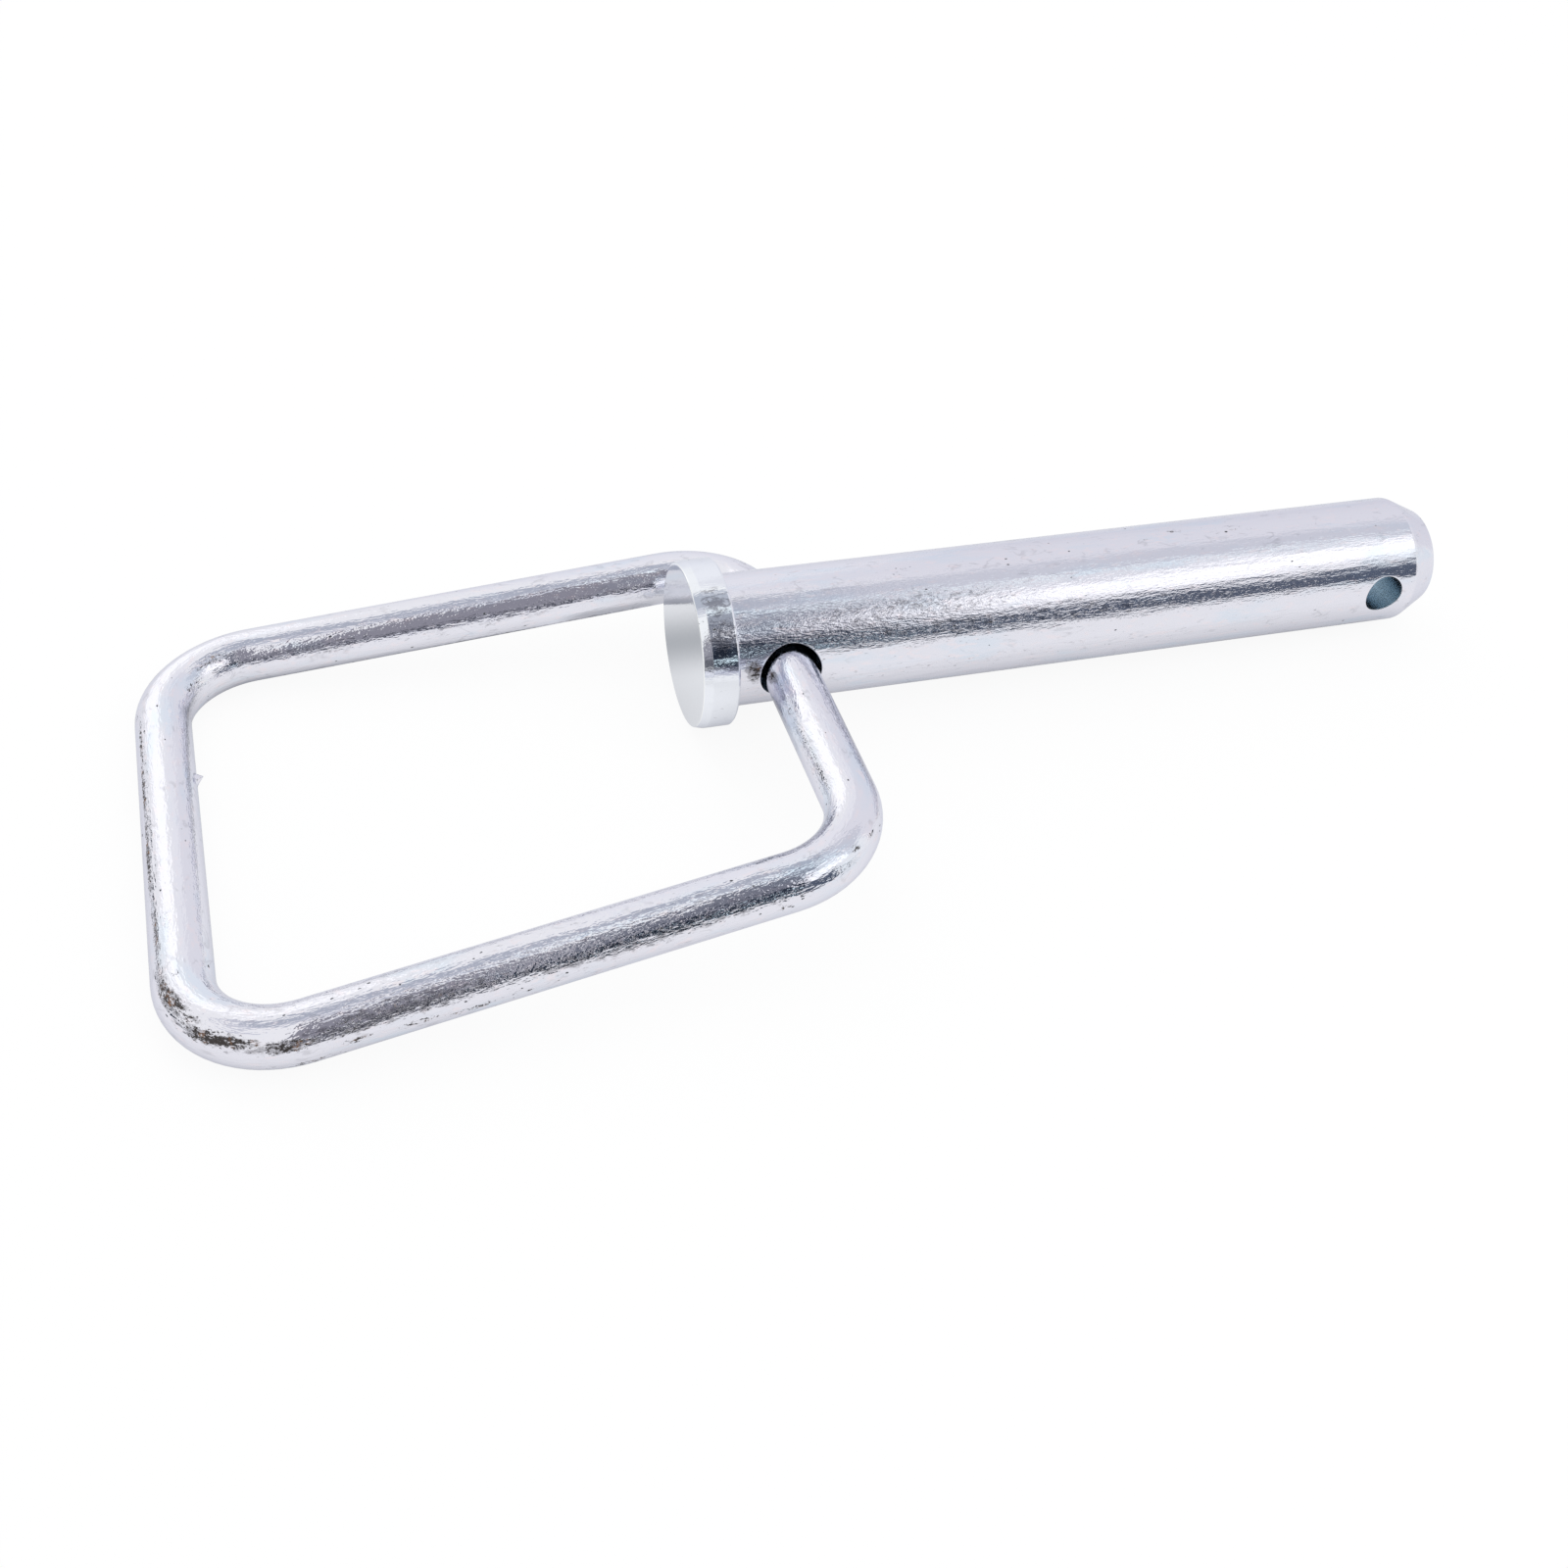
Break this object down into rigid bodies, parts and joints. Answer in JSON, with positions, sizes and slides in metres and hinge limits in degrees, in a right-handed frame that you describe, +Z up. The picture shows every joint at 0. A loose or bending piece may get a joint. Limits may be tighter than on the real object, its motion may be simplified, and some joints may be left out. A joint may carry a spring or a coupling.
{
  "type": "drawbar pin",
  "caption": "Headed round pin for a drawbar, with a tapered tip, a clip hole near the tip and a bent-rod loop handle that swings in a cross hole under the head.",
  "frame": {"origin": "centre of the head's underside, on the pin's axis", "axes": "the pin lies as it comes to rest on a level surface, +Z up, +X from the handle's grip towards the tip, +Y along the two cross holes. The pin's axis dips 1.34 degrees from +X towards the tip, because the head is wider than the shank"},
  "size_m": [0.3059, 0.1327, 0.0381],
  "materials": {
    "pin_steel": "bright zinc plating with fine scuffs",
    "rod_steel": "bright zinc plating with mill scale pits"
  },
  "bodies": {
    "pin": {"headed_pin": "pin_steel"},
    "handle": {"loop_handle": "rod_steel"}
  },
  "joints": [
    {"name": "handle_swing", "type": "hinge", "parent": "pin", "child": "handle", "pos_m": [0.01269, 0, -0.0007], "axis": [0.0139, 0.9999, 0.0013], "range_deg": [-164.3, 176.9]}
  ]
}
